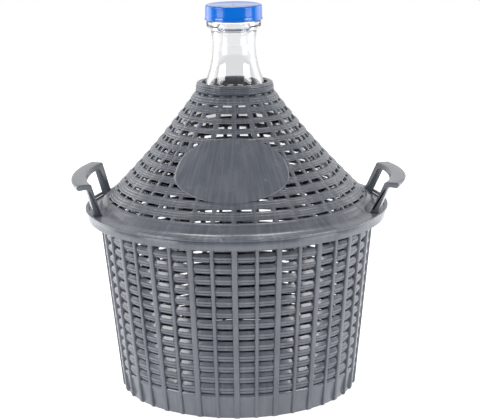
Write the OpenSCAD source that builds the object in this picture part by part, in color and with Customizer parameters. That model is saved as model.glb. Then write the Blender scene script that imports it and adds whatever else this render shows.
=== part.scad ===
// Glass demijohn in a two-part plastic basket, with a screw cap.
// Units are millimetres. Z is up, the origin is the centre of the foot,
// the plate faces -Y and the two handles lie on the X axis.

/* [Basket] */
// Radius over the ribs at the foot
foot_r = 119.7; // [112:0.1:126]
// Radius over the ribs at the rim
rim_r = 138.7; // [134:0.1:144]
// Height of the rim ledge above the ground
rim_z = 184.1; // [176:0.1:196]
// Thickness of the basket wall
wall_t = 2.3; // [2.1:0.1:3]
// How far the upright ribs stand out from the bands
rib_proud = 2.6; // [1.4:0.1:3]
// Width of a wide rib
wide_rib_w = 5.6; // [4.6:0.1:7]
// Width of a slim rib
slim_rib_w = 3.8; // [3:0.1:4.4]
// Number of wide ribs, with a slim rib between each two
rib_count = 20; // [16:2:20]
// Height of the solid band at the foot
foot_band_h = 25.1; // [20:0.1:30]
// Distance from one row of gaps to the next
row_pitch = 11.1; // [10.8:0.1:13]
// Height of a gap
gap_h = 2.6; // [2:0.1:3.4]
// Depth of the grooves between the bands
groove_d = 1.2; // [0.8:0.1:1.5]
// Thickness of the floor
floor_t = 3; // [2.4:0.1:4]
// Height of the floor above the ground
floor_lift = 4; // [2:0.1:8]
// Width of the ring that the basket stands on
foot_ring_w = 9; // [6:0.1:14]
// Width of the rim ledge outside the ribs
ledge_w = 10.5; // [9.5:0.1:13]
// Thickness of the rim ledge and of its skirt
ledge_t = 2.4; // [2:0.1:3]
// Height of the skirt that hangs from the ledge
skirt_h = 9; // [7:0.1:12]

/* [Handles] */
// Distance between the two legs of a handle, middle to middle
leg_span = 98; // [84:0.5:106]
// Width of a leg along the rim
leg_w = 6; // [5:0.1:8]
// Thickness of a leg at the ledge
leg_foot_t = 7.1; // [6:0.1:8]
// Thickness of a leg below the grip
leg_top_t = 4.6; // [4:0.1:5.6]
// How far the legs lean outward
leg_lean = 10.6; // [6:0.1:12]
// Height of the grip above the ledge
handle_h = 34; // [28:0.5:42]
// Width of the grip, inner edge to outer edge
grip_w = 15; // [14:0.1:20]
// Thickness of the grip
grip_t = 5; // [4.4:0.1:6.4]

/* [Cover] */
// Height of the cover above the rim ledge
cover_h = 125.4; // [118:0.1:134]
// Radius of the opening in the collar
opening_r = 32.2; // [31:0.1:35]
// Radius of the rolled edge of the collar
roll_r = 3.25; // [2.6:0.05:4]
// Thickness of the cover
cover_t = 2.5; // [2.2:0.1:3]
// How far the cone bows inward
cone_bow = 4.2; // [2:0.1:5]
// Height at which the cone starts above the ledge
cone_lift = 5.9; // [4.5:0.1:8]
// Thickness of the flange
flange_t = 2.2; // [1.8:0.1:3]
// How far the flange stands out past the skirt
flange_over = 2.6; // [1:0.1:4]
// Radius of the hollow between cone and flange
valley_r = 6; // [3:0.1:9]
// Height of the plain band below the lowest row
plain_band_h = 13.2; // [12:0.1:18]
// Distance from one row to the next, measured upright
ring_pitch = 8.6; // [8.4:0.1:10]
// Height of a slot in the lowest row
slot_low_h = 1.9; // [1.6:0.1:2.4]
// Height of a slot in the tallest row, the fourth from the top
slot_high_h = 4.2; // [3.2:0.1:4.4]
// Number of slots in one row near the collar
slot_count = 20; // [16:1:20]
// Number of rows that are cut through, counted from the collar
open_rows = 5; // [3:1:6]
// Width of the ribs between the slots
slot_rib_w = 4.6; // [3.6:0.1:6]
// Width of the bars that divide the rows below, twice as many as the slots
bar_w = 4.2; // [3.2:0.1:5.2]
// Depth of a bar's face below the rings
bar_sink = 0.3; // [0.2:0.05:0.6]
// Depth of the grooves between the rings
ring_groove_d = 1.2; // [0.8:0.1:1.4]
// Half the width of the oval plate
plate_half_w = 54.7; // [45:0.1:62]
// Height of the oval plate's lower edge above the ledge
plate_z = 27.4; // [24:0.1:34]
// Height of the plate above its widest place
plate_up = 35; // [28:0.1:38]
// Height of the plate below its widest place
plate_down = 18; // [14:0.1:22]
// How far the plate stands out from the rings
plate_proud = 0.8; // [0.4:0.1:1.4]
// Room in the flange at the ends and on the inner side of the handle legs
handle_room = 1; // [0.6:0.1:2]
// Room in the flange on the outer side of the handle legs
handle_room_out = 2; // [1.4:0.1:2.6]
// Depth of the step that the handle pocket cuts into the foot of the cone
pocket_d = 0.9; // [0.4:0.1:1.2]
// How far the pocket reaches past the slot for the legs, in degrees
pocket_past = 3; // [1:0.5:6]

/* [Bottle] */
// Room between the glass and the basket or the cover
bottle_room = 1.6; // [1.3:0.1:3]
// Thickness of the glass
glass_t = 4; // [3:0.1:5]
// How much of the base outside its hollow the curve of the heel takes
heel_share = 0.9; // [0.7:0.01:0.95]
// Radius of the curve at the belly, as a share of the base's radius
belly_share = 0.92; // [0.7:0.01:1]
// How much of the neck below its waist the curve of the throat takes
throat_share = 0.91; // [0.7:0.01:0.95]
// Radius of the neck at its narrowest
neck_r = 21.1; // [20:0.1:23]
// Height of the mouth above the collar
neck_rise = 72.8; // [68:0.1:80]
// Height of the threaded part of the mouth
finish_h = 12.4; // [11:0.1:14]
// Radius of the threaded part of the mouth
finish_r = 25.2; // [24.8:0.1:25.8]
// Radius of the ring below the thread
ring_r = 26.9; // [26.4:0.1:28]
// Height of the ring below the thread
ring_h = 7; // [5:0.1:9]
// Radius of the bore in the neck
bore_r = 17.6; // [16.5:0.1:18]
// Radius of the hollow under the base, as a share of the base's radius
kick_share = 0.54; // [0.44:0.01:0.56]
// Height of the hollow under the base
kick_h = 12; // [6:0.5:18]

/* [Cap] */
// Radius of the cap's skirt
cap_r = 28.1; // [27.9:0.05:29.5]
// Height of the cap
cap_h = 15; // [14.2:0.1:16]
// Thickness of the cap's wall
cap_t = 1.6; // [1.3:0.05:1.8]
// How far the bead at the lower edge stands out
bead = 0.6; // [0.3:0.05:1]
// Height of that bead
bead_h = 1.4; // [1:0.1:2]
// Radius of the rounded top edge
cap_edge_r = 2.2; // [1.8:0.1:3]
// Thickness of the sealing liner
liner_t = 1.2; // [0.8:0.05:1.4]
// Room between the liner and the mouth
seal_room = 0.2; // [0.1:0.05:0.3]

/* [Hidden] */
$fn = 96;
arc_steps = 10;
lap = 0.4;
// An opening is lower than its groove by this much at each edge
step_in = 0.25;
// Angle of the front, where the plate is
front = -90;
// How far cutting shapes reach past what they cut
past = 4;

// Radius of the basket over its ribs at height z
function rib_r(z) = foot_r + (rim_r - foot_r) * z / rim_z;
function band_r(z) = rib_r(z) - rib_proud;
function basket_in(z) = band_r(z) - wall_t;

skirt_r = rim_r + ledge_w;
skirt_z = rim_z - skirt_h;
first_gap_z = foot_band_h + gap_h / 2;
gap_rows = floor((skirt_z - gap_h - first_gap_z) / row_pitch) + 1;
rib_step = 360 / (2 * rib_count);
// Angle left between an open gap and the ribs beside it
gap_room = 0.4;

// Cone of the cover, which starts a little inside the ribs and ends inside the collar's roll
cone_set_in = 3.1;
collar_step = 1.1;
collar_gap = 1;
cover_top = rim_z + cover_h;
flange_r = skirt_r + flange_over;
cone_z0 = rim_z + cone_lift;
cone_z1 = cover_top - 2 * roll_r - collar_gap;
cone_r0 = rim_r - cone_set_in;
cone_r1 = opening_r + 2 * roll_r - collar_step;
function cone_t(z) = (z - cone_z0) / (cone_z1 - cone_z0);
function cone_r(z) = cone_r0 + (cone_r1 - cone_r0) * cone_t(z)
    - cone_bow * 4 * cone_t(z) * (1 - cone_t(z));
first_ring_z = rim_z + plain_band_h;
ring_rows = floor((cone_z1 - 1.2 - first_ring_z) / ring_pitch) + 1;
tall_row = ring_rows - 4;
function ring_row_z(i) = first_ring_z + i * ring_pitch;
function slot_h(i) = i <= tall_row
    ? slot_low_h + (slot_high_h - slot_low_h) * i / tall_row
    : slot_high_h * (ring_rows - i) / (ring_rows - tall_row);
// Corners of the cover's section between flange and cone
valley_out = 1.6;
lip_soft_z = 0.6;
foot_up = 4;
cone_slope = (cone_r0 - cone_r1) / (cone_z1 - cone_z0);
cover_level_t = cover_t * sqrt(1 + cone_slope * cone_slope);

// Handle places, on a circle through the middle of the ledge
leg_room = 0.2;
leg_r = skirt_r - ledge_t - leg_foot_t / 2 - leg_room;
leg_a = asin(leg_span / 2 / leg_r);
leg_half_a = asin(leg_w / 2 / leg_r);
handle_top = rim_z + handle_h;
tip_more = 0.3;
window_soft = 4;
channel_in = 7.4;
channel_d = 4;
// Thin fin at the foot of each leg, on its outer side
fin_t = 1.6;
fin_h = 13;
fin_room = 0.5;

// Levels of the bottle; the neck widens a little from its waist to the ring
waist_drop = 14;
neck_mid_z = 8;
neck_mid_w = 0.9;
neck_top_w = 2;
ring_soft = 1.6;
lip_soft = 1;
base_z = floor_lift + floor_t;
mouth_z = cover_top + neck_rise;
ring_top = mouth_z - finish_h;
ring_z = ring_top - ring_h;
waist_z = ring_z - waist_drop;

// Lines that the glass follows inside the basket and inside the cover
glass_off = cover_level_t + bottle_room * sqrt(1 + cone_slope * cone_slope);
za = cone_z0 + 0.3 * (cone_z1 - cone_z0);
zb = cone_z0 + 0.9 * (cone_z1 - cone_z0);
ra = cone_r(za) - glass_off;
rb = cone_r(zb) - glass_off;
shoulder_k = (ra - rb) / (zb - za);
wall_k = (rim_r - foot_r) / rim_z;
heel_line_r = basket_in(0) - bottle_room;
belly_z = (ra + shoulder_k * za - heel_line_r) / (wall_k + shoulder_k);
belly_line_r = heel_line_r + wall_k * belly_z;

// Curves of the glass
base_r = heel_line_r + wall_k * base_z;
kick_r = kick_share * base_r;
heel_r = heel_share * (base_r - kick_r) * tan((90 + atan(wall_k)) / 2);
belly_r = belly_share * base_r;
throat_r = throat_share * (waist_z - throat_z(0, neck_r)) / tan(atan(shoulder_k) / 2);

// Cap levels
liner_z = mouth_z + seal_room;
cap_top = liner_z + liner_t + cap_t;
cap_z = cap_top - cap_h;
liner_room = 0.3;

function unit(v) = v / norm(v);
// Points of the arc that rounds corner q between p and s with radius r
function arc(p, q, s, r) =
    let (a = unit(p - q), b = unit(s - q), half = acos(a * b) / 2)
    let (c = q + unit(a + b) * r / sin(half))
    let (u = q + a * r / tan(half) - c, v = q + b * r / tan(half) - c)
    let (a0 = atan2(u[1], u[0]), d = atan2(v[1], v[0]) - a0)
    let (turn = d > 180 ? d - 360 : d < -180 ? d + 360 : d)
    [for (i = [0 : arc_steps])
        c + r * [cos(a0 + turn * i / arc_steps), sin(a0 + turn * i / arc_steps)]];
// Corner q moved inward by d, for a corner that bulges (side 1) or is hollow (side -1)
function inset(p, q, s, d, side) =
    let (a = unit(p - q), b = unit(s - q), half = acos(a * b) / 2)
    q + side * unit(a + b) * d / sin(half);

// Ring sector from angle a, spanning w degrees, with the given section
module sector(a, w) {
    rotate([0, 0, a - w / 2]) rotate_extrude(angle = w) children();
}

module box2d(r0, r1, z0, z1) {
    translate([r0, z0]) square([r1 - r0, z1 - z0]);
}

// Section of the basket's wall: bands with grooves between them
module basket_wall() {
    edge = groove_d;
    outer = [for (i = [0 : gap_rows - 1])
        let (z = first_gap_z + i * row_pitch)
        for (p = [[-gap_h / 2 - edge, 0], [-gap_h / 2, groove_d],
                  [gap_h / 2, groove_d], [gap_h / 2 + edge, 0]])
            [band_r(z + p[0]) - p[1], z + p[0]]];
    rotate_extrude() polygon(concat(
        [[basket_in(0), 0], [band_r(0), 0]],
        outer,
        [[band_r(rim_z), rim_z], [basket_in(rim_z), rim_z]]));
}

// Section of one upright rib, from just inside the grooves outward
module rib_section() {
    inner = rib_proud + groove_d + lap;
    polygon([[rib_r(0) - inner, 0], [rib_r(0), 0],
        [rib_r(skirt_z + lap), skirt_z + lap],
        [rib_r(rim_z - lap), rim_z - lap],
        [rib_r(rim_z - lap) - inner, rim_z - lap]]);
}

module basket_floor() {
    rotate_extrude()
        polygon([[0, floor_lift], [basket_in(0) - foot_ring_w, floor_lift],
            [basket_in(0) - foot_ring_w, 0], [basket_in(0) + wall_t / 2, 0],
            [basket_in(base_z) + wall_t / 2, base_z], [0, base_z]]);
}

module rim_ledge() {
    rotate_extrude()
        polygon([[basket_in(rim_z) + wall_t / 2, rim_z],
            [basket_in(rim_z) + wall_t / 2, rim_z - ledge_t],
            [skirt_r - ledge_t, rim_z - ledge_t], [skirt_r - ledge_t, skirt_z],
            [skirt_r, skirt_z], [skirt_r, rim_z - 0.8], [skirt_r - 0.8, rim_z]]);
}

// Side view of a handle: a leaning leg and the grip that turns outward from it
module handle_section() {
    leg_in = leg_r - leg_foot_t / 2;
    top_in = leg_r + leg_lean - leg_top_t / 2;
    grip_z = handle_top - grip_t / 2;
    tip = top_in + grip_w - grip_t / 2;
    polygon([[leg_in, rim_z - lap], [leg_in + leg_foot_t, rim_z - lap],
        [top_in + leg_top_t, handle_top - grip_t], [top_in + leg_top_t, handle_top - grip_t / 2],
        [top_in, handle_top - grip_t / 2]]);
    translate([top_in + grip_t / 2, grip_z]) circle(d = grip_t);
    translate([tip, grip_z - tip_more]) circle(d = grip_t + 2 * tip_more);
    polygon([[top_in + grip_t / 2, handle_top], [top_in + grip_t / 2, handle_top - grip_t],
        [tip, handle_top - grip_t - 2 * tip_more], [tip, handle_top]]);
}

// Window between the legs, below the grip, with rounded upper corners
module handle_window() {
    half = leg_span / 2 - leg_w / 2;
    top = handle_top - grip_t;
    soft = window_soft;
    rotate([90, 0, 90]) linear_extrude(height = skirt_r + leg_lean + grip_w + past)
        difference() {
            translate([-half, rim_z]) square([2 * half, top - rim_z]);
            for (s = [-1, 1]) translate([s * (half - soft), top - soft])
                difference() {
                    translate([s > 0 ? 0 : -soft - 1, 0]) square([soft + 1, soft + 1]);
                    circle(r = soft);
                }
        }
}

module handle() {
    end_a = leg_a + leg_half_a;
    difference() {
        sector(0, 2 * end_a) handle_section();
        handle_window();
        // Groove under the grip
        sector(0, 2 * (leg_a - leg_half_a))
            translate([leg_r + leg_lean + channel_in, handle_top - grip_t - channel_d / 6])
                circle(d = channel_d);
    }
    fin_out = leg_r + leg_foot_t / 2;
    for (s = [-1, 1])
        sector(s * leg_a, fin_t / leg_r * 180 / PI)
            polygon([[fin_out - lap, rim_z - lap], [fin_out + handle_room_out - fin_room, rim_z - lap],
                [fin_out + handle_room_out - fin_room, rim_z + fin_h / 2],
                [fin_out + leg_lean * fin_h / handle_h - lap, rim_z + fin_h]]);
}

module basket() {
    color([0.42, 0.43, 0.47]) {
        difference() {
            basket_wall();
            // Open gaps, every second row, alternately left and right of the wide ribs
            for (i = [1 : 2 : gap_rows - 2], k = [0 : rib_count - 1]) {
                z = first_gap_z + i * row_pitch;
                side = (i % 4 == 1) ? 1 : -1;
                rib_a = (wide_rib_w + slim_rib_w) / 2 / band_r(z) * 180 / PI;
                mid = k * 2 * rib_step + front + side * rib_step / 2;
                sector(mid, rib_step - rib_a - gap_room)
                    box2d(basket_in(z) - past, rib_r(z) + past,
                        z - gap_h / 2 + step_in, z + gap_h / 2 - step_in);
            }
        }
        for (k = [0 : 2 * rib_count - 1])
            sector(k * rib_step + front,
                (k % 2 == 0 ? wide_rib_w : slim_rib_w) / rim_r * 180 / PI) rib_section();
        basket_floor();
        rim_ledge();
        handle();
        rotate([0, 0, 180]) handle();
    }
}

// Section of the cover: flange, valley, cone with its rings, rolled collar
module cover_section() {
    valley = [cone_r0 + valley_out, rim_z + flange_t + lip_soft_z];
    lip = [flange_r, rim_z + flange_t];
    foot = [cone_r(cone_z0 + foot_up), cone_z0 + foot_up];
    roll = [opening_r + roll_r, cover_top - roll_r];
    outer = [for (i = [0 : ring_rows - 1])
        let (z = ring_row_z(i), h = slot_h(i) / 2, d = ring_groove_d)
        for (p = [[-h - d, 0], [-h, d], [h, d], [h + d, 0]])
            [cone_r(z + p[0]) - p[1], z + p[0]]];
    inner = [for (i = [0 : 12])
        let (z = cone_z1 - (cone_z1 - cone_z0) * i / 12)
        [cone_r(z) - cover_level_t, z]];
    polygon(concat(
        [[cone_r0 - cover_level_t + 1, rim_z], [flange_r, rim_z],
            lip - [0, lip_soft_z], lip - [lip_soft_z, 0]],
        arc(lip, valley, foot, valley_r),
        outer,
        [[cone_r1, cone_z1], roll + roll_r * [0.6, -lap], roll + roll_r * [-lap, -lap]],
        inner));
    translate(roll) circle(r = roll_r);
}

// Section of one bar, which runs up the cone just below the rings' face
module bar_section() {
    steps = 8;
    z0 = ring_row_z(-0.4);
    z1 = ring_row_z(ring_rows - open_rows - 0.6);
    zs = [for (i = [0 : steps]) z0 + (z1 - z0) * i / steps];
    polygon(concat(
        [for (z = zs) [cone_r(z) - bar_sink, z]],
        [for (i = [steps : -1 : 0]) [cone_r(zs[i]) - ring_groove_d - lap, zs[i]]]));
}

// Front outline of the oval plate
module plate_outline() {
    wide_z = rim_z + plate_z + plate_down;
    polygon(concat(
        [for (a = [0 : 6 : 180]) [plate_half_w * cos(a), wide_z + plate_up * sin(a)]],
        [for (a = [186 : 6 : 354]) [plate_half_w * cos(a), wide_z + plate_down * sin(a)]]));
}

module plate() {
    z0 = rim_z + plate_z - past;
    z1 = rim_z + plate_z + plate_down + plate_up + past;
    steps = 10;
    zs = [for (i = [0 : steps]) z0 + (z1 - z0) * i / steps];
    intersection() {
        rotate([90, 0, 0]) linear_extrude(height = flange_r) plate_outline();
        rotate_extrude() polygon(concat(
            [for (z = zs) [cone_r(z) + plate_proud, z]],
            [for (i = [steps : -1 : 0]) [cone_r(zs[i]) - cover_level_t + lap, zs[i]]]));
    }
}

module cover() {
    slot_a = leg_a + leg_half_a + handle_room;
    slot_in = leg_r - leg_foot_t / 2 - handle_room;
    slot_out = leg_r + leg_foot_t / 2 + handle_room_out;
    color([0.44, 0.45, 0.49]) {
        difference() {
            rotate_extrude() cover_section();
            for (i = [0 : open_rows - 1], k = [0 : slot_count - 1]) {
                row = ring_rows - 1 - i;
                z = ring_row_z(row);
                half = slot_h(row) / 2 - step_in;
                rib_a = slot_rib_w / cone_r(z) * 180 / PI;
                sector((k + 0.5) * 360 / slot_count + front, 360 / slot_count - rib_a)
                    box2d(cone_r(z) - cover_level_t - past, cone_r(z) + past, z - half, z + half);
            }
            // Long slots and pockets for the handles
            for (s = [0, 180]) {
                sector(s, 2 * slot_a) box2d(slot_in, slot_out, rim_z - past, first_ring_z);
                sector(s, 2 * (slot_a + pocket_past))
                    box2d(cone_r0 - pocket_d, slot_out + 1, rim_z + flange_t - lap, first_ring_z);
            }
        }
        for (k = [0 : 2 * slot_count - 1])
            sector(k * 180 / slot_count + front, bar_w / cone_r0 * 180 / PI) bar_section();
        plate();
    }
}

// Height at which the shoulder, moved inward by d, reaches the radius r of the neck
function throat_z(d, r) = za + (ra - d * sqrt(1 + shoulder_k * shoulder_k) - r) / shoulder_k;

// Outline of the glass from the base to the throat, moved inward by d, to a neck of radius r
function glass_line(d, r) =
    let (p0 = [0, base_z + kick_h], p1 = [kick_r, base_z],
        p2 = [base_r, base_z], p3 = [belly_line_r, belly_z],
        p4 = [neck_r, throat_z(0, neck_r)])
    let (q0 = [0, base_z + kick_h + d], q1 = inset(p0, p1, p2, d, 1),
        q2 = inset(p1, p2, p3, d, 1), q3 = inset(p2, p3, p4, d, 1),
        q4 = [r, throat_z(d, r)], q5 = [r, waist_z])
    concat([q0, q1], arc(q1, q2, q3, heel_r - d), arc(q2, q3, q4, belly_r - d),
        arc(q3, q4, q5, throat_r + d));

function reverse(v) = [for (i = [len(v) - 1 : -1 : 0]) v[i]];

module bottle() {
    color([0.75, 0.82, 0.83, 0.5])
    rotate_extrude() polygon(concat(
        glass_line(0, neck_r),
        [[neck_r, waist_z], [neck_r + neck_mid_w, waist_z + neck_mid_z],
            [neck_r + neck_top_w, ring_z - ring_soft], [ring_r - ring_soft, ring_z],
            [ring_r, ring_z + ring_soft], [ring_r, ring_top - lip_soft],
            [ring_r - lip_soft, ring_top], [finish_r, ring_top], [finish_r, mouth_z - lip_soft],
            [finish_r - lip_soft, mouth_z], [bore_r, mouth_z]],
        reverse(glass_line(glass_t, bore_r))));
}

module cap() {
    in_r = cap_r - cap_t;
    color([0.02, 0.36, 0.86])
    rotate_extrude() {
        difference() {
            union() {
                box2d(0, cap_r, cap_z, cap_top - cap_edge_r);
                box2d(0, cap_r - cap_edge_r, cap_z, cap_top);
                translate([cap_r - cap_edge_r, cap_top - cap_edge_r]) circle(r = cap_edge_r);
                box2d(in_r, cap_r + bead, cap_z, cap_z + bead_h);
            }
            box2d(-past, in_r, cap_z - past, cap_top - cap_t);
        }
    }
}

module cap_liner() {
    color([0.93, 0.93, 0.9])
    translate([0, 0, liner_z]) cylinder(r = cap_r - cap_t - liner_room, h = liner_t);
}

basket();
cover();
bottle();
cap();
cap_liner();
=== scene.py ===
"""Glass demijohn in a grey plastic basket with a slotted cover and a blue screw cap."""
import math

import bmesh
import bpy
import numpy as np
from mathutils import Matrix, Vector


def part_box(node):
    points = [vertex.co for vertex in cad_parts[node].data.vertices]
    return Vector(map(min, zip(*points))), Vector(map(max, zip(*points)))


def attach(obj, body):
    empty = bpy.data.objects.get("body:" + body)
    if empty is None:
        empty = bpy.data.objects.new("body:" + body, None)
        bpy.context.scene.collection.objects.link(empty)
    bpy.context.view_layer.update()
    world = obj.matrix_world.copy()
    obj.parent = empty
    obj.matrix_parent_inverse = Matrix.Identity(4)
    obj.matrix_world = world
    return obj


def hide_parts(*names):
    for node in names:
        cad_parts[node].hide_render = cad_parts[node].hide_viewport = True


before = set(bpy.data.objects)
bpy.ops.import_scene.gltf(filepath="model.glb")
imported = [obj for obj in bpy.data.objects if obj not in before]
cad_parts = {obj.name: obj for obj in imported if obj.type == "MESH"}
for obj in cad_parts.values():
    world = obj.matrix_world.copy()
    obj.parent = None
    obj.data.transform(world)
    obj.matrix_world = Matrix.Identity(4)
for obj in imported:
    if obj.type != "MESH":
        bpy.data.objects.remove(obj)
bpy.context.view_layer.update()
MM = 0.001

# Sizes read from the frame, in millimetres
basket_hi = np.array(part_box("basket")[1]) / MM
cover_lo, cover_hi = (np.array(c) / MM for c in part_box("cover"))
bottle_hi = np.array(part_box("bottle")[1]) / MM
cap_lo, cap_hi = (np.array(c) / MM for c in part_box("cap"))

# Basket. A gap row is a row of openings between two bands, and a column the space between two
# ribs. GAPS are the rows' heights, lowest first, and RIB_PROUD is how far the ribs stand out.
RIM_Z = cover_lo[2]
FOOT_R = 119.7
RIM_R = 138.7
WALL_IN = 4.9
FLOOR_UNDER = 4.0
FLOOR_TOP = 7.0
FOOT_IN = 1.9
ROW_PITCH = 11.1
FIRST_GAP = 24.8
GAP_ROWS = 14
GAPS = [0.8, 0.9, 1.0, 1.2, 1.5, 1.9, 2.2] + [2.5] * (GAP_ROWS - 7)
COLUMNS = 40
WIDE_RIB = 5.3
SLIM_RIB = 3.3
RIB_PROUD = 2.6
RIB_DEEP = 4.6
RIB_SOFT = 0.9
RIB_WAVE = 0.35
RIB_STEPS = 4
SKIRT_R = 149.2
SKIRT_Z = RIM_Z - 9.0
LEDGE_T = 2.4

# One band of the basket from its foot to its top: shares of its height, and depth below its crest.
# Beside a rib the crest stands BAND_LIFT out of the wall's face, and the back is BAND_BACK shorter
# at each edge.
BAND_SHARE = np.array([0, 0.04, 0.17, 0.3, 0.335, 0.37, 0.5, 0.63, 0.665, 0.7, 0.81, 0.93, 1])
BAND_DEPTH = np.array([1.9, 1.3, 0.7, 0.35, 0.85, 0.25, 0, 0.15, 0.65, 0.2, 0.8, 1.5, 1.9])
BAND_LIFT = 0.6
BAND_BACK = 0.3

# One column from rib to rib: shares of its width, finer beside the ribs, and the bands' bulge at each
COLUMN_SHARE = np.array([0, 0.13, 0.2, 0.35, 0.65, 0.8, 0.87])
COLUMN_BULGE = np.array([0, 0.65, 0.95, 1, 1, 0.95, 0.65])

# Cover. Its cone runs from CONE_R0 at CONE_Z0 to CONE_R1 at CONE_Z1, and is hollow by CONE_BOW.
# COVER_LEVEL_T is its wall, measured level.
COVER_TOP = cover_hi[2]
FLANGE_R = cover_hi[0]
FLANGE_T = 2.2
OPENING_R = 32.2
ROLL_R = 3.25
CONE_Z0 = RIM_Z + 5.9
CONE_Z1 = COVER_TOP - 2 * ROLL_R - 1
CONE_R0 = RIM_R - 3.1
CONE_R1 = OPENING_R + 2 * ROLL_R - 1.1
CONE_BOW = 4.2
COVER_LEVEL_T = 3.3

# Rings of the cover: rounded RING_CREST high, with strands on them, creased at the ribs, and uneven
# by RING_DRIFT on their way round
FIRST_RING = RIM_Z + 12.5
RING_PITCH = 8.6
RING_ROWS = 13
RING_IN = 1.7
RING_CREST = 1.2
RING_STRAND = 0.85
RING_DRIFT = 0.15
RING_BACK = 0.2
CREASE_DEPTH = 0.3
CREASE_SHARE = 0.09
COVER_RIB = 4.8
SHORT_RIB = 4.2
SHORT_RIB_ROWS = 7.5

# Height of the slots between the rings, lowest row first
SLOT_H = [1.8, 1.9, 2.3, 2.8, 3.1, 3.2, 3.4, 3.6, 3.8, 4.0, 3.6, 1.5, 0.9]

# The flange's hollow, from its edge to the plain band: radius, and height above the rim
HOLLOW = [(146.5, 2.35), (143.5, 2.7), (141, 3.3), (139, 4.3), (137.2, 5.7), (135.6, 7.2)]

# Slots and pockets for the handles: degrees that a slot runs past the legs and a pocket past the
# slot, and the share of a pocket's half length with a straight inner side
SLOT_MORE = 1
POCKET_MORE = 3
POCKET_STRAIGHT = 0.86

# The oval plate: half its width, and its reach above and below PLATE_Z, where it is widest
PLATE_HALF = 54.7
PLATE_Z = RIM_Z + 45.4
PLATE_UP = 35.0
PLATE_DOWN = 18.0
PLATE_TURN = -1.75
PLATE_PROUD = 0.85
PLATE_DEEP = 2.6

# Handles. The legs lean outward by LEG_LEAN and thin from LEG_FOOT_T to LEG_TOP_T. LEG_SPAN is the
# distance between the two legs' middles, and LEG_END the angle of their outer edges in degrees.
LEG_FOOT_T = 7.1
LEG_TOP_T = 4.6
LEG_R = SKIRT_R - LEDGE_T - LEG_FOOT_T / 2 - 0.2
LEG_IN = LEG_R - LEG_FOOT_T / 2
LEG_OUT = LEG_R + LEG_FOOT_T / 2
LEG_SPAN = 98.0
LEG_W = 6.0
LEG_LEAN = 10.6
LEG_END = math.degrees(math.asin(LEG_SPAN / 2 / LEG_R) + math.asin(LEG_W / 2 / LEG_R))
LEG_TOP_IN = LEG_R + LEG_LEAN - LEG_TOP_T / 2
GRIP_T = 5.0
GRIP_W = 15.0
GRIP_LIP = 0.3
HANDLE_TOP = basket_hi[2]
HANDLE_H = HANDLE_TOP - RIM_Z
GRIP_UNDER = HANDLE_TOP - GRIP_T
OPENING_SOFT = 4.0
HANDLE_SOFT = 1.1
CHANNEL_R = 2.0
FIN_HALF = 0.3

# Glass. BOTTLE_ROOM is the gap to the basket and the cover round it.
GLASS_T = 4.0
BOTTLE_ROOM = 1.6
MOUTH_Z = bottle_hi[2]
NECK_R = 21.1
BORE_R = 17.6
FINISH_R = 25.2
RING_R = 26.9
RING_TOP = MOUTH_Z - 12.4
RING_Z = RING_TOP - 7.0
WAIST_Z = RING_Z - 14.0

# Curves of the glass: the stretch of the cone that its slope follows, the pushed-up base's height
# and its share of the base's radius, the heel's share of the flat beside it, the shoulder's of the
# base's radius, and the throat's of the neck below its waist
SHOULDER_SPAN = (0.3, 0.9)
KICK_H = 12.0
KICK_SHARE = 0.54
HEEL_SHARE = 0.9
SHOULDER_SHARE = 0.92
THROAT_SHARE = 0.91

# Screw thread: height and width of its ridge, start above the ring, rise over one turn, and the
# angle in radians over which it fades in and out
THREAD_PROUD = 0.75
THREAD_WIDTH = 0.75
THREAD_START = 2.6
THREAD_RISE = 4.6
THREAD_FADE = 0.5

# Cap
CAP_R = 28.1
CAP_T = 1.6
CAP_Z = cap_lo[2]
CAP_TOP = cap_hi[2]
CAP_SINK = 0.35
CAP_BEAD = 0.6

# Meshes: how near a turned outline comes to the axis and how close points are welded after a cut,
# in millimetres, and the length in metres below which an edge is dropped
AXIS_R = 0.02
WELD = 0.03
EMPTY_EDGE = 1e-7

# Colours: the moulded grey where it is dark and light, then its lighter streaks, a painted highlight
# on the cover's flange; then the other materials
GREY = [(0.087, 0.096, 0.117, 1), (0.136, 0.148, 0.175, 1), (0.185, 0.198, 0.224, 1)]
CAP_BLUES = [(0.0, 0.125, 0.56, 1), (0.0, 0.15, 0.65, 1)]
LINER_WHITES = [(0.78, 0.78, 0.74, 1), (0.88, 0.88, 0.85, 1)]
GLASS_TINT = (0.945, 0.95, 0.96, 1)
FLOOR_PALE = (0.9, 0.9, 0.9, 1)
WHITE = (1, 1, 1, 1)

# Floor, in metres
FLOOR_LEFT, FLOOR_RIGHT = -2, 2
FLOOR_FRONT, FLOOR_BACK = -2, 1.4
FLOOR_GLOW = 0.68

# Room: its strength in front, behind and above, and as seen through glass
FRONT_FILL = 0.04
BACK_FILL = 0.9
TOP_FILL = 0.32
GLASS_VIEW = 0.75

# Soft boxes, all pointed at the height AIM_Z: azimuth in degrees from the front, distance from the
# axis, height, own width and own height in metres, and power in watts
AIM_Z = 0.4
SOFT_BOXES = {
    "left side box": (-118, 1.3, 0.5, 0.9, 1.1, 7),
    "right side box": (118, 1.3, 0.5, 0.9, 1.1, 5),
    "left window": (-62, 1.5, 0.85, 0.9, 0.5, 12.5),
    "right window": (64, 1.5, 0.85, 0.8, 0.5, 11),
    "left card": (-55, 1.5, 0.21, 0.75, 0.28, 2.6),
    "right card": (64, 1.5, 0.21, 0.75, 0.28, 2.6),
    "top box": (180, 0.8, 1.6, 0.8, 0.5, 9),
}

# Camera, as fitted to the photograph: pixels, degrees, and metres for distance and height
IMAGE_W = 480
FOCAL_PX = 1574.0
SENSOR_MM = 36
CAM_AZIMUTH = 1.2
CAM_DISTANCE = 1.5438
CAM_HEIGHT = 0.5513
CAM_PITCH = 13.6
CAM_AIM = -0.124
CAM_ROLL = -0.87


def rib_r(z):
    """Radius of the ribs' fronts at height z."""
    return FOOT_R + (RIM_R - FOOT_R) * z / RIM_Z


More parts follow.
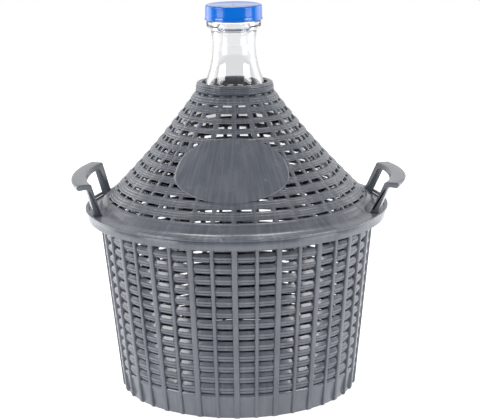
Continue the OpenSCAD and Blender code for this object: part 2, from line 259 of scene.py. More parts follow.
def cone_r(z):
    """Outer radius of the cover's cone at height z."""
    t = (z - CONE_Z0) / (CONE_Z1 - CONE_Z0)
    return CONE_R0 + (CONE_R1 - CONE_R0) * t - CONE_BOW * 4 * t * (1 - t)


class Shape:
    """Vertices and faces of one piece, collected in millimetres."""

    def __init__(self):
        self.verts = []
        self.faces = []
        self.count = 0

    def add(self, verts, faces):
        self.verts.append(np.asarray(verts, float).reshape(-1, 3))
        self.faces.extend([[i + self.count for i in f] for f in faces])
        self.count += len(self.verts[-1])

    def add_object(self, obj):
        """Adds an object's evaluated mesh and removes the object."""
        dg = bpy.context.evaluated_depsgraph_get()
        mesh = obj.evaluated_get(dg).to_mesh()
        co = np.empty(len(mesh.vertices) * 3)
        mesh.vertices.foreach_get("co", co)
        self.add(co / MM, [list(p.vertices) for p in mesh.polygons])
        bpy.data.objects.remove(obj)

    def make(self, name, sharp=40):
        """An object of the shape, in metres; edges steeper than sharp degrees stay sharp."""
        mesh = bpy.data.meshes.new(name)
        mesh.from_pydata((np.vstack(self.verts) * MM).tolist(), [], self.faces)
        mesh.validate()
        bm = bmesh.new()
        bm.from_mesh(mesh)
        bmesh.ops.recalc_face_normals(bm, faces=bm.faces)
        bmesh.ops.dissolve_degenerate(bm, dist=EMPTY_EDGE, edges=bm.edges[:])
        bm.to_mesh(mesh)
        bm.free()
        mesh.shade_smooth()
        mesh.set_sharp_from_angle(angle=math.radians(sharp))
        obj = bpy.data.objects.new(name, mesh)
        bpy.context.scene.collection.objects.link(obj)
        return obj


def ring_grid(sections, thetas, closed=True):
    """Sections of (r, z) points, one per angle, joined into a closed ring or an open sector."""
    sections = np.asarray(sections, float)
    n, p = sections.shape[:2]
    c, s = np.cos(thetas)[:, None], np.sin(thetas)[:, None]
    verts = np.stack([sections[:, :, 0] * c, sections[:, :, 0] * s, sections[:, :, 1]], 2)
    faces = []
    for i in range(n if closed else n - 1):
        a, b = i * p, (i + 1) % n * p
        faces += [[a + j, b + j, b + (j + 1) % p, a + (j + 1) % p] for j in range(p)]
    if not closed:
        faces += [list(range(p)), [(n - 1) * p + j for j in range(p)][::-1]]
    return verts.reshape(-1, 3), faces


def lathe(shape, section, steps=240):
    """A closed section of (r, z) points turned about the Z axis."""
    thetas = np.linspace(0, 2 * math.pi, steps, endpoint=False)
    shape.add(*ring_grid(np.repeat(np.array(section, float)[None], steps, 0), thetas))


def arc_points(cx, cz, r, a0, a1, n):
    """Points on an arc round (cx, cz), angles in degrees."""
    return [(cx + r * math.cos(math.radians(a)), cz + r * math.sin(math.radians(a)))
            for a in np.linspace(a0, a1, n)]


# Angles all round, and each one's share of the way across its column
COLUMN = math.radians(360 / COLUMNS)
COLUMN_THETAS = np.concatenate([(k + COLUMN_SHARE) * COLUMN for k in range(COLUMNS)]) - math.pi / 2
COLUMN_U = np.tile(COLUMN_SHARE, COLUMNS)


def add_band(shape, outer, z, back):
    """A band round the axis: outer radii by angle and height z, closed by its (r, z) back points."""
    zs = np.repeat(z[None], len(outer), 0)
    backs = np.repeat(np.array(back)[None], len(outer), 0)
    sections = np.concatenate([np.stack([outer, zs], 2), backs], 1)
    shape.add(*ring_grid(sections, COLUMN_THETAS))


def strands(t, count):
    """Height of the round strands across a band, 0 between them and 1 on their crests."""
    return np.abs(np.sin(math.pi * count * t))


def upright(shape, angle, z, rows):
    """A rib up the Z axis: rows are the (sideways, outward) points of its section at each height z."""
    pts = np.array([[np.broadcast_to(a, z.shape), b, z] for a, b in rows])
    side, out, up = pts[:, 0].T, pts[:, 1].T, pts[:, 2].T
    c, s = math.cos(angle), math.sin(angle)
    verts = np.stack([out * c - side * s, out * s + side * c, up], 2).reshape(-1, 3)
    p = len(rows)
    faces = [[i * p + j, i * p + (j + 1) % p, (i + 1) * p + (j + 1) % p, (i + 1) * p + j]
             for i in range(len(z) - 1) for j in range(p)]
    faces += [list(range(p)), [(len(z) - 1) * p + j for j in range(p)]]
    shape.add(verts, faces)


def basket_bands(shape):
    """The woven-looking bands: three strands each, that bulge between the ribs."""
    bulge = np.tile(COLUMN_BULGE, COLUMNS)[:, None]
    for row in range(GAP_ROWS - 1):
        z0 = FIRST_GAP + row * ROW_PITCH + GAPS[row] / 2
        z1 = FIRST_GAP + (row + 1) * ROW_PITCH - GAPS[row + 1] / 2
        z = z0 + (z1 - z0) * BAND_SHARE
        outer = (rib_r(z) - RIB_PROUD + BAND_LIFT - BAND_DEPTH)[None] + bulge
        back = [(rib_r(z1) - WALL_IN, z1 - BAND_BACK), (rib_r(z0) - WALL_IN, z0 + BAND_BACK)]
        add_band(shape, outer, z, back)


def basket_ribs(shape):
    """The upright ribs, a little wider at each row of gaps."""
    top = RIM_Z - LEDGE_T
    steps = np.arange(2, RIB_STEPS * GAP_ROWS + 10) * ROW_PITCH / RIB_STEPS
    z = np.concatenate([[0.0, 1.0], steps])
    z = np.append(z[z < top - 1], top)
    wave = RIB_WAVE * np.cos(2 * math.pi * (z - FIRST_GAP) / ROW_PITCH) * (z > FIRST_GAP - 6)
    front = rib_r(z) - np.where(z < 0.5, 0.8, 0)
    back, edge, near = front - RIB_DEEP, front - RIB_SOFT, front - RIB_SOFT * 0.3
    side = RIB_SOFT * 0.35
    for k in range(COLUMNS):
        half = (WIDE_RIB if k % 2 == 0 else SLIM_RIB) / 2 + wave / 2
        rows = [(-half, back), (-half, edge), (-half + side, near), (-half + RIB_SOFT, front),
                (half - RIB_SOFT, front), (half - side, near), (half, edge), (half, back)]
        upright(shape, k * COLUMN - math.pi / 2, z, rows)


def basket_foot(shape):
    """The solid foot band with its rounded upper edge, and the floor."""
    top = FIRST_GAP - GAPS[0] / 2
    inside = rib_r(0) - WALL_IN
    face = rib_r(0) - FOOT_IN
    face_top = rib_r(top) - FOOT_IN
    lathe(shape, [
        (inside - 9, 0.4), (inside - 8.6, 0), (face - 0.5, 0), (face, 0.5),
        (face_top, top - 4.2), (face_top + 0.5, top - 3.3), (face_top + 0.7, top - 2.2),
        (face_top + 0.4, top - 1), (face_top - 0.5, top), (rib_r(top) - WALL_IN, top),
        (rib_r(FLOOR_TOP) - WALL_IN, FLOOR_TOP), (AXIS_R, FLOOR_TOP), (AXIS_R, FLOOR_UNDER),
        (inside - 9, FLOOR_UNDER)])


def basket_rim(shape):
    """The top band, and the rim ledge with its skirt."""
    base = FIRST_GAP + (GAP_ROWS - 1) * ROW_PITCH + GAPS[-1] / 2
    under = RIM_Z - LEDGE_T
    skirt_in = SKIRT_R - LEDGE_T
    lathe(shape, [
        (rib_r(base) - WALL_IN, base), (rib_r(base) - 3.2, base), (rib_r(base) - 2.6, base + 0.6),
        (rib_r(RIM_Z) - 2.6, under - 1.2), (rib_r(RIM_Z) - 1.4, under), (skirt_in - 0.8, under),
        (skirt_in, under - 0.8), (skirt_in, SKIRT_Z + 0.4), (skirt_in + 0.4, SKIRT_Z),
        (SKIRT_R - 0.6, SKIRT_Z), (SKIRT_R - 0.15, SKIRT_Z + 0.25), (SKIRT_R, SKIRT_Z + 0.8),
        (SKIRT_R, RIM_Z - 1.2), (SKIRT_R - 0.4, RIM_Z - 0.4), (SKIRT_R - 1.2, RIM_Z),
        (rib_r(RIM_Z) - WALL_IN, RIM_Z)])


def temp_object(name, verts, faces):
    """An object that is only a step on the way to a piece."""
    shape = Shape()
    shape.add(verts, faces)
    return shape.make(name)


def cut(obj, tool):
    """Takes tool's volume out of obj, and removes tool."""
    mod = obj.modifiers.new("cut", "BOOLEAN")
    mod.operation = "DIFFERENCE"
    mod.solver = "EXACT"
    mod.object = tool
    dg = bpy.context.evaluated_depsgraph_get()
    mesh = bpy.data.meshes.new_from_object(obj.evaluated_get(dg))
    obj.modifiers.clear()
    bm = bmesh.new()
    bm.from_mesh(mesh)
    bmesh.ops.remove_doubles(bm, verts=bm.verts, dist=WELD * MM)
    bmesh.ops.dissolve_degenerate(bm, edges=bm.edges, dist=WELD * MM)
    bm.to_mesh(mesh)
    bm.free()
    obj.data = mesh
    bpy.data.objects.remove(tool)


def prism(name, outline, axis_from, axis_to):
    """A prism whose outline lies in (y, z), running along X."""
    n = len(outline)
    verts = [(axis_from, y, z) for y, z in outline] + [(axis_to, y, z) for y, z in outline]
    faces = [list(range(n)), [n + i for i in range(n)][::-1]]
    faces += [[i, (i + 1) % n, n + (i + 1) % n, n + i] for i in range(n)]
    return temp_object(name, verts, faces)


def sector_solid(name, section, a0, a1, steps):
    """A section of (r, z) points turned about the Z axis from angle a0 to a1, in degrees."""
    thetas = np.radians(np.linspace(a0, a1, steps))
    sections = np.repeat(np.array(section, float)[None], steps, 0)
    return temp_object(name, *ring_grid(sections, thetas, closed=False))


def handle_body():
    """Both legs and the grip above them, as one leaning sector with its grip turned outward."""
    section = [(LEG_IN, RIM_Z - 1), (LEG_OUT, RIM_Z - 1),
               (LEG_TOP_IN + LEG_TOP_T - 0.3, GRIP_UNDER - 1.4),
               (LEG_TOP_IN + LEG_TOP_T + 0.4, GRIP_UNDER - 0.4),
               (LEG_TOP_IN + LEG_TOP_T + 1.6, GRIP_UNDER)]
    lip_r = GRIP_T / 2 + GRIP_LIP
    grip_z = HANDLE_TOP - GRIP_T / 2
    section += arc_points(LEG_TOP_IN + GRIP_W - GRIP_T / 2, grip_z - GRIP_LIP, lip_r, -90, 84, 10)
    section += arc_points(LEG_TOP_IN + GRIP_T / 2, grip_z, GRIP_T / 2, 90, 180, 6)
    return sector_solid("grip", section, -LEG_END, LEG_END, 41)


def cut_opening(body):
    """Opens the space between the legs, rounded under the grip."""
    half = LEG_SPAN / 2 - LEG_W / 2
    outline = [(-half, RIM_Z - 3), (half, RIM_Z - 3)]
    corner = GRIP_UNDER - OPENING_SOFT
    outline += arc_points(half - OPENING_SOFT, corner, OPENING_SOFT, 0, 90, 7)
    outline += arc_points(-half + OPENING_SOFT, corner, OPENING_SOFT, 90, 180, 7)
    # Well inside and outside the legs
    near, far = 100, 200
    cut(body, prism("window", outline, near, far))


def cut_grooves(body):
    """The channel under the grip and a groove down the outer edge of each leg."""
    inner = LEG_END - 2 * math.degrees(math.asin(LEG_W / LEG_R)) + 1
    channel = arc_points(LEG_R + LEG_LEAN + 7.4, GRIP_UNDER - 0.67, CHANNEL_R, 0, 345, 14)
    cut(body, sector_solid("channel", channel, -inner, inner, 25))
    groove = [(LEG_IN + 2.3, RIM_Z + 5), (LEG_IN + 4.7, RIM_Z + 5),
              (LEG_TOP_IN + 3.1, GRIP_UNDER - 2), (LEG_TOP_IN + 1.6, GRIP_UNDER - 2)]
    for side in (1, -1):
        ends = sorted((side * (LEG_END - 0.36), side * (LEG_END + 1)))
        cut(body, sector_solid("groove", groove, *ends, 3))


def soften(body):
    """Rounds the body's edges."""
    bevel = body.modifiers.new("soft edges", "BEVEL")
    bevel.width = HANDLE_SOFT * MM
    bevel.segments = 3
    bevel.limit_method = "ANGLE"
    bevel.angle_limit = math.radians(40)


def handle_fins():
    """The small upright fins outside the foot of each leg."""
    middle = math.degrees(math.asin(LEG_SPAN / 2 / LEG_R))
    fin = [(LEG_OUT - 1, RIM_Z - 1), (LEG_OUT + 1.5, RIM_Z - 1), (LEG_OUT + 1.5, RIM_Z + 6.5),
           (LEG_OUT + LEG_LEAN * 13 / HANDLE_H - 1, RIM_Z + 13)]
    return [sector_solid("fin", fin, side * middle - FIN_HALF, side * middle + FIN_HALF, 3)
            for side in (1, -1)]


def handle(shape, turn, out, down, twist):
    """One moulded handle, turned by 0 or 180 degrees to its side and bent as use has bent it.

    out and down move its top, and twist lowers the end that is further from the front.
    """
    body = handle_body()
    cut_opening(body)
    cut_grooves(body)
    soften(body)
    spin = math.radians(turn)
    for part in [body] + handle_fins():
        flexed = Shape()
        flexed.add_object(part)
        verts = flexed.verts[0]
        up = np.clip((verts[:, 2] - RIM_Z) / HANDLE_H, 0, 1)
        far = 0.5 - verts[:, 1] / LEG_SPAN * (1 if turn else -1)
        verts[:, 0] += out * up
        verts[:, 2] -= (down + twist * far) * up ** 2
        x, y = verts[:, 0] * math.cos(spin), verts[:, 1] * math.cos(spin)
        shape.add(np.stack([x, y, verts[:, 2]], 1), flexed.faces)


def cover_rings(shape):
    """The rings of the cone, each a rounded bundle of fine ridges that dips at the ribs."""
    gap = np.minimum(COLUMN_U, 1 - COLUMN_U)
    crease = (1 - CREASE_DEPTH * np.exp(-(gap / CREASE_SHARE) ** 2))[:, None]
    around = np.arange(len(gap))
    knots = np.linspace(0, len(gap), COLUMNS + 1)
    rng = np.random.default_rng(4)
    for row in range(RING_ROWS - 1):
        z0 = FIRST_RING + row * RING_PITCH + SLOT_H[row] / 2
        z1 = FIRST_RING + (row + 1) * RING_PITCH - SLOT_H[row + 1] / 2
        count = 3 if z1 - z0 > 5 else 2
        t = np.linspace(0, 1, 4 * count + 1)
        z = z0 + (z1 - z0) * t
        drift = np.interp(around, knots, rng.uniform(-RING_DRIFT, RING_DRIFT, COLUMNS + 1))
        crest = RING_CREST * np.sin(math.pi * t) ** 0.5 + RING_STRAND * strands(t, count)
        outer = (cone_r(z) - RING_IN)[None] + crest[None] * crease
        outer = outer + drift[:, None] * (crest / 2.0)[None]
        low, high = z0 + RING_BACK, z1 - RING_BACK
        back = [(cone_r(z1) - COVER_LEVEL_T, high), (cone_r(z0) - COVER_LEVEL_T, low)]
        add_band(shape, outer, z, back)


def cover_ribs(shape):
    """Radial ribs between the rings: every second one runs to the collar, the others end lower."""
    for k in range(COLUMNS):
        long = k % 2 == 0
        top = CONE_Z1 + 1 if long else FIRST_RING + SHORT_RIB_ROWS * RING_PITCH
        z = np.linspace(FIRST_RING - 4, top, 44)
        half = (COVER_RIB if long else SHORT_RIB) / 2
        front = cone_r(z) - 0.7
        back, edge, soft = front - 2.5, front - 0.6, 0.6
        rows = [(-half, back), (-half, edge), (-half + soft, front), (half - soft, front),
                (half, edge), (half, back)]
        upright(shape, k * COLUMN - math.pi / 2, z, rows)


def cover_collar(shape):
    """The rolled edge round the neck, with fine ridges on the roll and a thin lip inside."""
    top_gap = FIRST_RING + (RING_ROWS - 1) * RING_PITCH + SLOT_H[-1] / 2
    r_out = OPENING_R + 2 * ROLL_R
    section = [(cone_r(top_gap) - COVER_LEVEL_T, top_gap), (cone_r(top_gap) - 0.8, top_gap),
               (cone_r(top_gap) + 0.1, top_gap + 0.6)]
    steps = 21
    z = np.linspace(top_gap + 1, COVER_TOP - 2.6, steps)
    t = np.linspace(0, 1, steps)
    ridge = 1.1
    section += list(zip(r_out - ridge + ridge * strands(t, 3) - 0.5 * t ** 3, z))
    section += arc_points(r_out - 3.0, COVER_TOP - 2.4, 2.2, 10, 80, 6)
    section += arc_points(OPENING_R + 1.5, COVER_TOP - 1.5, 1.5, 70, 180, 7)
    section += [(OPENING_R, COVER_TOP - 4), (OPENING_R + 1.2, COVER_TOP - 6.5)]
    lathe(shape, section)


def cut_leg_slots(foot):
    """Cuts both slots for the handles' legs, and the flat pockets that they stand in."""
    slot_end = LEG_END + SLOT_MORE
    slot_in, slot_out = LEG_IN - 1, LEG_OUT + 2
    high = RIM_Z + 20
    slot = [(slot_in, RIM_Z - 3), (slot_out, RIM_Z - 3), (slot_out, high), (slot_in, high)]
    pocket_end = slot_end + POCKET_MORE
    pocket_in, pocket_out = CONE_R0 - 0.9, slot_out + 1
    floor_z = RIM_Z + 1.9
    angles = np.linspace(-pocket_end, pocket_end, 61)
    past = (np.abs(angles) / pocket_end - POCKET_STRAIGHT) / (1 - POCKET_STRAIGHT)
    inner_side = pocket_in + 7.5 * np.clip(past, 0, 1) ** 2
    pocket = [[(r, floor_z), (pocket_out, floor_z), (pocket_out, high), (r, high)]
              for r in inner_side]
    for turn in (0, 180):
        cut(foot, sector_solid("slot", slot, turn - slot_end, turn + slot_end, 25))
        grid = ring_grid(pocket, np.radians(angles + turn), closed=False)
        cut(foot, temp_object("pocket", *grid))


def cover_foot(shape):
    """Flange, hollow and plain band up to the first slots, with the openings for the handles."""
    top_z = FIRST_RING - SLOT_H[0] / 2
    z = np.linspace(CONE_Z0 + 2.2, top_z - 1.2, 6)
    band = 0.16 * strands((z - z[0]) / (z[-1] - z[0]), 3)
    flange_z = RIM_Z + FLANGE_T
    section = [(FLANGE_R - 0.5, RIM_Z), (FLANGE_R, RIM_Z + 0.5), (FLANGE_R, flange_z - 0.7),
               (FLANGE_R - 0.25, flange_z - 0.2), (FLANGE_R - 0.9, flange_z)]
    section += [(r, RIM_Z + up) for r, up in HOLLOW]
    section += list(zip(cone_r(z[1:]) + band[1:], z[1:]))
    section += [(cone_r(top_z) - 0.35, top_z - 0.4), (cone_r(top_z) - 1.2, top_z),
                (cone_r(top_z) - COVER_LEVEL_T, top_z), (cone_r(CONE_Z0) - COVER_LEVEL_T, CONE_Z0),
                (cone_r(CONE_Z0) - COVER_LEVEL_T + 1, RIM_Z)]
    turned = Shape()
    lathe(turned, section)
    foot = turned.make("foot")
    cut_leg_slots(foot)
    shape.add_object(foot)


def ring_strip(low, high, count):
    """Faces between two rings of count points, given by each ring's first point."""
    ends = [(j, (j + 1) % count) for j in range(count)]
    return [[low + j, low + k, high + k, high + j] for j, k in ends]


def cover_plate(shape):
    """The plain oval plate on the front of the cone, with a soft edge."""
    flat, spokes = 20, 96
    edge_share = [0.955, 0.975, 0.99, 1.0, 1.0, 1.0]
    edge_lift = [0.95, 0.85, 0.55, 0.1, -0.9, -2.2]
    shares = np.concatenate([np.linspace(0.04, 0.93, flat), edge_share])
    front = np.concatenate([np.full(flat, PLATE_PROUD), edge_lift])
    rings = len(shares)
    phi = np.linspace(0, 2 * math.pi, spokes, endpoint=False)
    tall = np.where(np.sin(phi) > 0, PLATE_UP, PLATE_DOWN)
    verts = []
    for lift in (front, np.full(rings, -PLATE_DEEP)):
        for share, up in zip(shares, lift):
            x = PLATE_HALF * np.cos(phi) * share
            z = PLATE_Z + tall * np.sin(phi) * share
            r = cone_r(z) + up
            a = np.arcsin(np.clip(x / r, -1, 1)) + math.radians(PLATE_TURN) - math.pi / 2
            verts += list(zip(r * np.cos(a), r * np.sin(a), z))

    faces = []
    for base in (0, rings * spokes):
        for i in range(rings - 1):
            faces += ring_strip(base + i * spokes, base + (i + 1) * spokes, spokes)
        faces.append([base + j for j in range(spokes)])
    edge = (rings - 1) * spokes
    faces += ring_strip(edge, rings * spokes + edge, spokes)
    shape.add(verts, faces)


def unit(v):
    """Vector v made one long."""
    return v / np.linalg.norm(v)


def round_corner(p, q, s, radius, steps=16):
    """Points of the arc that rounds corner q between p and s."""
    p, q, s = (np.array(v, float) for v in (p, q, s))
    a, b = unit(p - q), unit(s - q)
    half = math.acos(a @ b) / 2
    centre = q + unit(a + b) * radius / math.sin(half)
    u, v = (q + e * radius / math.tan(half) - centre for e in (a, b))
    start = math.atan2(u[1], u[0])
    turn = (math.atan2(v[1], v[0]) - start + math.pi) % (2 * math.pi) - math.pi
    return [tuple(centre + radius * np.array([math.cos(e), math.sin(e)]))
            for e in start + turn * np.linspace(0, 1, steps)]


def inset(p, q, s, d):
    """Corner q moved inward by d."""
    p, q, s = (np.array(v, float) for v in (p, q, s))
    a, b = unit(p - q), unit(s - q)
    return q + unit(a + b) * d / math.sin(math.acos(a @ b) / 2)


def glass_line(d, r):
    """Outline of the glass from its base to the neck of radius r, moved inward by d."""
    cone_slope = (CONE_R0 - CONE_R1) / (CONE_Z1 - CONE_Z0)
    room = COVER_LEVEL_T + BOTTLE_ROOM * math.sqrt(1 + cone_slope ** 2)
    za, zb = (CONE_Z0 + e * (CONE_Z1 - CONE_Z0) for e in SHOULDER_SPAN)
    ra, rb = cone_r(za) - room, cone_r(zb) - room
    slope = (ra - rb) / (zb - za)
    wall = (RIM_R - FOOT_R) / RIM_Z
    heel = FOOT_R - WALL_IN - BOTTLE_ROOM
    belly_z = (ra + slope * za - heel) / (wall + slope)
    base_r = heel + wall * FLOOR_TOP
    kick_r = KICK_SHARE * base_r
    throat = za + (ra - d * math.sqrt(1 + slope * slope) - r) / slope
    throat0 = za + (ra - NECK_R) / slope
    heel_r = HEEL_SHARE * (base_r - kick_r) * math.tan((math.pi / 2 + math.atan(wall)) / 2)
    throat_r = THROAT_SHARE * (WAIST_Z - throat0) / math.tan(math.atan(slope) / 2)
    p0, p1, p2 = (0, FLOOR_TOP + KICK_H), (kick_r, FLOOR_TOP), (base_r, FLOOR_TOP)
    p3, p4 = (heel + wall * belly_z, belly_z), (NECK_R, throat0)
    q1, q2, q3 = inset(p0, p1, p2, d), inset(p1, p2, p3, d), inset(p2, p3, p4, d)
    q4, q5 = (r, throat), (r, WAIST_Z)
    line = [(AXIS_R, FLOOR_TOP + KICK_H + d), tuple(q1)]
    line += round_corner(q1, q2, q3, heel_r - d)
    line += round_corner(q2, q3, q4, SHOULDER_SHARE * base_r - d, 20)
    return line + round_corner(q3, q4, q5, throat_r + d, 20)


def neck_line():
    """Outline of the flaring neck and its collar ring, from the waist up to the threaded finish."""
    line = [(NECK_R + 0.1, WAIST_Z + 2), (NECK_R + 0.4, WAIST_Z + 5), (NECK_R + 1.0, WAIST_Z + 8.5),
            (NECK_R + 1.8, RING_Z - 2.4), (NECK_R + 2.6, RING_Z - 1.0), (RING_R - 1.5, RING_Z - 0.2)]
    line += arc_points(RING_R - 1.5, RING_Z + 1.6, 1.5, -70, 0, 5)
    line += arc_points(RING_R - 1.1, RING_TOP - 1.2, 1.1, 0, 80, 5)
    return line + [(FINISH_R + 0.2, RING_TOP)]


def add_thread(radii, z, thetas):
    """Raises the two starts of the screw thread on radii, given by angle and height z."""
    full = 2 * math.pi
    for start in (0, math.pi):
        along = (thetas - start) % full
        fade = np.clip(np.minimum(along, full - along) / THREAD_FADE, 0, 1)
        centre = RING_TOP + THREAD_START + THREAD_RISE * along / full
        ridge = np.exp(-((z[None] - centre[:, None]) / THREAD_WIDTH) ** 2) * fade[:, None]
        radii += THREAD_PROUD * ridge


def bottle_piece():
    """The glass: body, waisted neck, collar ring, and a finish with a screw thread under the cap."""
    outer = glass_line(0, NECK_R) + neck_line()
    z = np.arange(RING_TOP + 0.6, MOUTH_Z - 1.4, 0.4)
    first, last = len(outer), len(outer) + len(z)
    outer += [(FINISH_R, h) for h in z]
    outer += arc_points(FINISH_R - 1.2, MOUTH_Z - 1.2, 1.2, 0, 90, 5)
    outer += arc_points(BORE_R + 1.0, MOUTH_Z - 1.0, 1.0, 90, 180, 5)
    section = np.array(outer + glass_line(GLASS_T, BORE_R)[::-1])
    thetas = np.linspace(0, 2 * math.pi, 180, endpoint=False)
    sections = np.repeat(section[None], len(thetas), 0)
    add_thread(sections[:, first:last, 0], z, thetas)
    shape = Shape()
    shape.add(*ring_grid(sections, thetas))
    return shape.make("bottle_glass", 50)


def cap_piece():
    """The screw cap: straight skirt, soft upper edge, bead at the foot, sunk top with a gate mark."""
    inside = CAP_R - CAP_T
    sunk = CAP_TOP - CAP_SINK
    under = CAP_TOP - CAP_T
    section = [(inside, CAP_Z), (CAP_R + 0.3, CAP_Z), (CAP_R + CAP_BEAD, CAP_Z + 0.3),
               (CAP_R + CAP_BEAD, CAP_Z + 1.0), (CAP_R + 0.35, CAP_Z + 1.5), (CAP_R, CAP_Z + 2.0),
               (CAP_R - 0.05, CAP_Z + 5)]
    section += arc_points(CAP_R - 2.0, CAP_TOP - 2.0, 1.9, 0, 88, 9)
    section += [(CAP_R - 3.0, CAP_TOP), (CAP_R - 3.8, CAP_TOP - 0.15), (CAP_R - 4.6, sunk),
                (3.0, sunk), (1.6, CAP_TOP - 0.3), (1.0, CAP_TOP - 0.02), (AXIS_R, CAP_TOP),
                (AXIS_R, under), (inside - 0.5, under), (inside, under - 0.5)]
    shape = Shape()
    lathe(shape, section, 192)
    return shape.make("cap_moulding", 50)


def material(name):
    """A new material, its node tree and its shader."""
    mat = bpy.data.materials.new(name)
    mat.use_nodes = True
    tree = mat.node_tree
    return mat, tree, tree.nodes["Principled BSDF"]


def node(tree, kind, inputs=None, **settings):
    """A new shader node; an input that is a socket is linked, any other is set as a value."""
    n = tree.nodes.new(kind)
    for key, value in settings.items():
        setattr(n, key, value)
    for key, value in (inputs or {}).items():
        if isinstance(value, bpy.types.NodeSocket):
            tree.links.new(value, n.inputs[key])
        else:
            n.inputs[key].default_value = value
    return n


def place_of(tree):
    """Position in the object's own space, in metres."""
    return node(tree, "ShaderNodeTexCoord").outputs["Object"]


def noise(tree, place, scale, detail):
    inputs = {"Vector": place, "Scale": scale, "Detail": detail}
    return node(tree, "ShaderNodeTexNoise", inputs).outputs["Fac"]


def ramp(tree, value, start, end, low, high):
    """Value taken from the span start to end onto the span low to high."""
    inputs = {0: value, 1: start, 2: end, 3: low, 4: high}
    return node(tree, "ShaderNodeMapRange", inputs).outputs[0]


def blend(tree, share, first, second):
    """First colour where share is 0, second where it is 1."""
    return node(tree, "ShaderNodeMix", {0: share, 6: first, 7: second}, data_type="RGBA").outputs[2]


def relief(tree, height, strength, distance, **under):
    """Bumps distance metres deep, on top of the normals in under."""
    inputs = {"Strength": strength, "Distance": distance, "Height": height, **under}
    return node(tree, "ShaderNodeBump", inputs).outputs[0]


def maths(tree, operation, first, second):
    return node(tree, "ShaderNodeMath", {0: first, 1: second}, operation=operation).outputs[0]


def along_axis(tree, place, stretch):
    """Noise position that changes round the Z axis and stretch times as fast up it, not outward."""
    level = node(tree, "ShaderNodeMapping", {"Vector": place, "Scale": (1, 1, 0)}).outputs[0]
    around = node(tree, "ShaderNodeVectorMath", {0: level}, operation="NORMALIZE").outputs[0]
    height = node(tree, "ShaderNodeMapping", {"Vector": place, "Scale": (0, 0, stretch)}).outputs[0]
    return node(tree, "ShaderNodeVectorMath", {0: around, 1: height}, operation="ADD").outputs[0]


def plastic(name, dark, light, streak_and_sheen, roughness, streaks):
    """Moulded grey plastic: fine grain, cloudy tone, and lighter flow streaks, on the flange a painted
    highlight.
    """
    mat, tree, shader = material(name)
    place = place_of(tree)
    flow = noise(tree, along_axis(tree, place, 1.3), 30.0, 3.0)
    cloud = noise(tree, place, 38.0, 4.0)
    grain = noise(tree, place, 420.0, 1.0)
    base = blend(tree, ramp(tree, cloud, 0.25, 0.75, 0.0, 1.0), dark, light)
    # Lighter streaks round the axis; where they run radially over the cover's flange they are a
    # painted highlight
    colour = blend(tree, ramp(tree, flow, 0.45, 0.75, 0.0, streaks), base, streak_and_sheen)
    rough = ramp(tree, cloud, 0.3, 0.7, roughness - 0.04, roughness + 0.06)
    fine = relief(tree, grain, 0.06, 0.0001)
    soft = relief(tree, cloud, 0.15, 0.0005, Normal=fine)
    tree.links.new(colour, shader.inputs["Base Color"])
    tree.links.new(rough, shader.inputs["Roughness"])
    tree.links.new(soft, shader.inputs["Normal"])
    shader.inputs["Specular IOR Level"].default_value = 0.6
    return mat


def glass_material():
    """Clear glass with the slight waviness of a blown wall."""
    mat, tree, shader = material("clear glass")
    wave = noise(tree, place_of(tree), 14.0, 1.0)
    tree.links.new(relief(tree, wave, 0.15, 0.0012), shader.inputs["Normal"])
    shader.inputs["Base Color"].default_value = GLASS_TINT
    shader.inputs["Transmission Weight"].default_value = 1.0
    shader.inputs["Roughness"].default_value = 0.0
    shader.inputs["IOR"].default_value = 1.5
    return mat


def cap_material():
    """Glossy blue plastic, slightly cloudy."""
    mat, tree, shader = material("blue cap plastic")
    cloud = noise(tree, place_of(tree), 40.0, 3.0)
    tree.links.new(blend(tree, cloud, *CAP_BLUES), shader.inputs["Base Color"])
    tree.links.new(ramp(tree, cloud, 0.0, 1.0, 0.24, 0.36), shader.inputs["Roughness"])
    tree.links.new(relief(tree, cloud, 0.08, 0.0004), shader.inputs["Normal"])
    shader.inputs["Specular IOR Level"].default_value = 0.1
    shader.inputs["Coat Weight"].default_value = 1.0
    shader.inputs["Coat Roughness"].default_value = 0.14
    return mat


def liner_material():
    """Matt white foam."""
    mat, tree, shader = material("white liner foam")
    grain = noise(tree, place_of(tree), 700.0, 3.0)
    tree.links.new(blend(tree, grain, *LINER_WHITES), shader.inputs["Base Color"])
    tree.links.new(relief(tree, grain, 0.3, 0.0003), shader.inputs["Normal"])
    shader.inputs["Roughness"].default_value = 0.7
    return mat


def floor_material():
    """Pale floor that glows a little, so that it stays near white like the photograph's."""
    mat, _, shader = material("pale floor")
    shader.inputs["Base Color"].default_value = FLOOR_PALE
    shader.inputs["Roughness"].default_value = 0.9
    shader.inputs["Emission Color"].default_value = WHITE
    shader.inputs["Emission Strength"].default_value = FLOOR_GLOW
    return mat


def pale_floor():
    """A flat floor that ends a little behind the object."""
    corners = [(FLOOR_LEFT, FLOOR_FRONT, 0), (FLOOR_RIGHT, FLOOR_FRONT, 0),
               (FLOOR_RIGHT, FLOOR_BACK, 0), (FLOOR_LEFT, FLOOR_BACK, 0)]
    mesh = bpy.data.meshes.new("floor")
    mesh.from_pydata(corners, [], [(0, 1, 2, 3)])
    mesh.materials.append(floor_material())
    obj = bpy.data.objects.new("floor", mesh)
    bpy.context.scene.collection.objects.link(obj)
    return obj


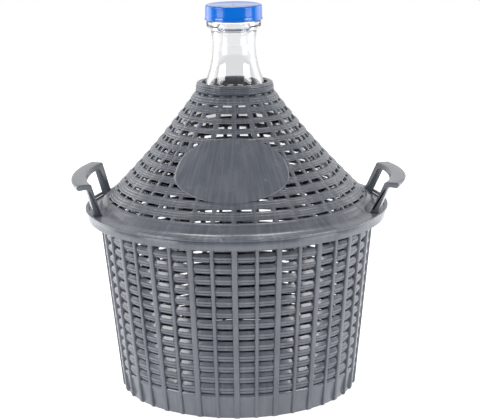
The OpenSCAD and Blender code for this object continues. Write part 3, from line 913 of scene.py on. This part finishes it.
def white_room():
    """A white studio: bright behind the object, dimmer above and in front, white where it is seen."""
    world = bpy.data.worlds.new("room")
    bpy.context.scene.world = world
    world.use_nodes = True
    tree = world.node_tree
    coord = node(tree, "ShaderNodeTexCoord").outputs["Generated"]
    way = node(tree, "ShaderNodeSeparateXYZ", {0: coord}).outputs
    back = ramp(tree, way["Y"], -0.2, 1.0, FRONT_FILL, BACK_FILL)
    up = ramp(tree, way["Z"], 0.1, 0.9, 0.0, TOP_FILL)
    fill = maths(tree, "MAXIMUM", back, up)
    path = node(tree, "ShaderNodeLightPath").outputs
    glass = maths(tree, "MULTIPLY", path["Is Transmission Ray"], GLASS_VIEW)
    seen = maths(tree, "MAXIMUM", path["Is Camera Ray"], glass)
    background = tree.nodes["Background"].inputs
    background["Color"].default_value = WHITE
    tree.links.new(maths(tree, "MAXIMUM", fill, seen), background["Strength"])


def soft_box(name, azimuth, distance, height, width, tall, power):
    """A rectangular light at an azimuth in degrees from the front, turned towards the object."""
    light = bpy.data.lights.new(name, "AREA")
    light.shape = "RECTANGLE"
    light.size = width
    light.size_y = tall
    light.energy = power
    obj = bpy.data.objects.new(name, light)
    a = math.radians(azimuth)
    obj.location = (distance * math.sin(a), -distance * math.cos(a), height)
    obj.rotation_euler = (Vector((0, 0, AIM_Z)) - obj.location).to_track_quat("-Z", "Y").to_euler()
    bpy.context.scene.collection.objects.link(obj)


def photo_camera():
    """The camera, standing where the photograph was taken from."""
    data = bpy.data.cameras.new("camera")
    data.sensor_width = SENSOR_MM
    data.lens = FOCAL_PX * SENSOR_MM / IMAGE_W
    camera = bpy.data.objects.new("camera", data)
    bpy.context.scene.collection.objects.link(camera)
    azimuth = math.radians(CAM_AZIMUTH)
    turn = Matrix.Rotation(azimuth + math.radians(CAM_AIM), 4, "Z")
    tilt = Matrix.Rotation(math.radians(90 - CAM_PITCH), 4, "X")
    roll = Matrix.Rotation(math.radians(CAM_ROLL), 4, "Z")
    x, y = CAM_DISTANCE * math.sin(azimuth), -CAM_DISTANCE * math.cos(azimuth)
    camera.matrix_world = Matrix.Translation((x, y, CAM_HEIGHT)) @ turn @ tilt @ roll
    return camera


def dress(obj, mat, body, slot, *nodes):
    """Gives a piece its material, and says what it rides on and what it replaces; slot is not used."""
    obj.data.materials.append(mat)
    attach(obj, body)
    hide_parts(*nodes)


# Basket; each handle's turn in degrees, then its bend outward, down and at its far end
basket = Shape()
basket_bands(basket)
basket_ribs(basket)
basket_foot(basket)
basket_rim(basket)
handle(basket, 0, 3.0, 1.0, 3.0)
handle(basket, 180, -2.0, 0.0, 1.0)
basket_grey = plastic("basket plastic", *GREY, roughness=0.2, streaks=0.3)
dress(basket.make("basket_moulding"), basket_grey, "demijohn", "basket_plastic", "basket")

# Cover
cover = Shape()
cover_rings(cover)
cover_ribs(cover)
cover_collar(cover)
cover_foot(cover)
cover_plate(cover)
cover_grey = plastic("cover plastic", *GREY, roughness=0.24, streaks=0.65)
dress(cover.make("cover_moulding"), cover_grey, "demijohn", "cover_plastic", "cover")

# Glass, cap and liner
dress(bottle_piece(), glass_material(), "demijohn", "clear_glass", "bottle")
dress(cap_piece(), cap_material(), "screw_cap", "cap_plastic", "cap")
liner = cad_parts["cap_liner"].data
liner.materials.clear()
liner.materials.append(liner_material())

# Floor, light and camera
floor = pale_floor()
white_room()
for name, values in SOFT_BOXES.items():
    soft_box(name, *values)
bpy.context.scene.view_settings.view_transform = "Standard"
bpy.context.scene.camera = photo_camera()
